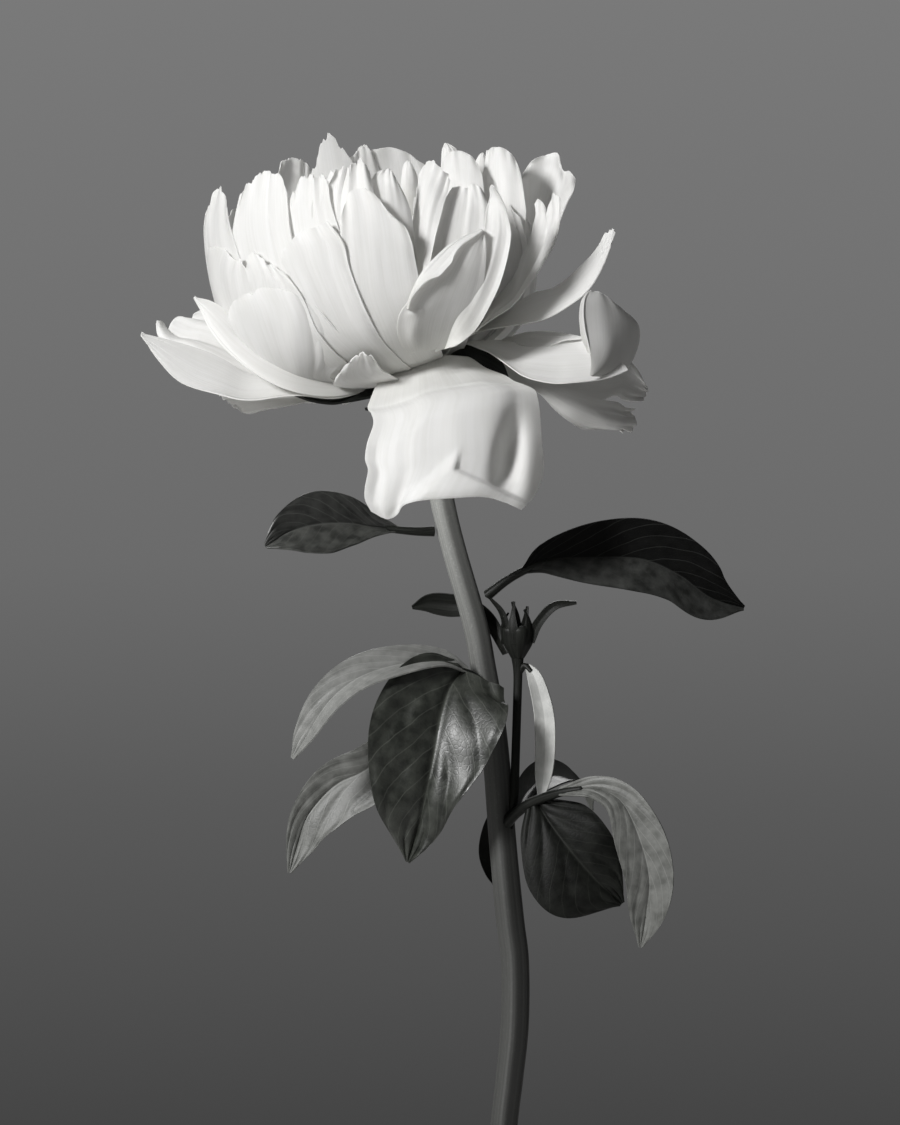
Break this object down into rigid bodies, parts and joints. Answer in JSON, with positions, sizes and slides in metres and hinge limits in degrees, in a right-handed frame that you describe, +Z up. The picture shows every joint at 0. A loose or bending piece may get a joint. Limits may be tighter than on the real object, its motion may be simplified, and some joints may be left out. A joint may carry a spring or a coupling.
{
  "type": "peony in a bud vase",
  "caption": "Fully open white double peony with a closed side bud and dark cut leaves, standing in a plain glazed bottle vase with water.",
  "frame": {"origin": "middle of the flat underside of the vase's foot", "axes": "+Z up along the vase's axis, -Y towards the front of the bouquet as pictured, +X to its right"},
  "size_m": [0.1908, 0.1292, 0.5311],
  "materials": {
    "glaze": "satin glaze",
    "water": "clear liquid",
    "stem": "ribbed green stalk, slightly waxy",
    "shoot": "thin green stalk and bud bracts",
    "petal": "soft, matte and slightly see-through",
    "leaf": "dark, veined, slightly glossy"
  },
  "bodies": {
    "root": {"vase": "glaze", "water": "water", "stem": "stem", "sideShoot": "shoot", "bloom": "petal", "upperLeftLeaf": "leaf", "upperRightLeaf": "leaf", "middleLeftLeaf": "leaf", "narrowLeaf": "leaf", "lowerRightLeaf": "leaf", "lowerBackLeaf": "leaf"}
  },
  "joints": []
}
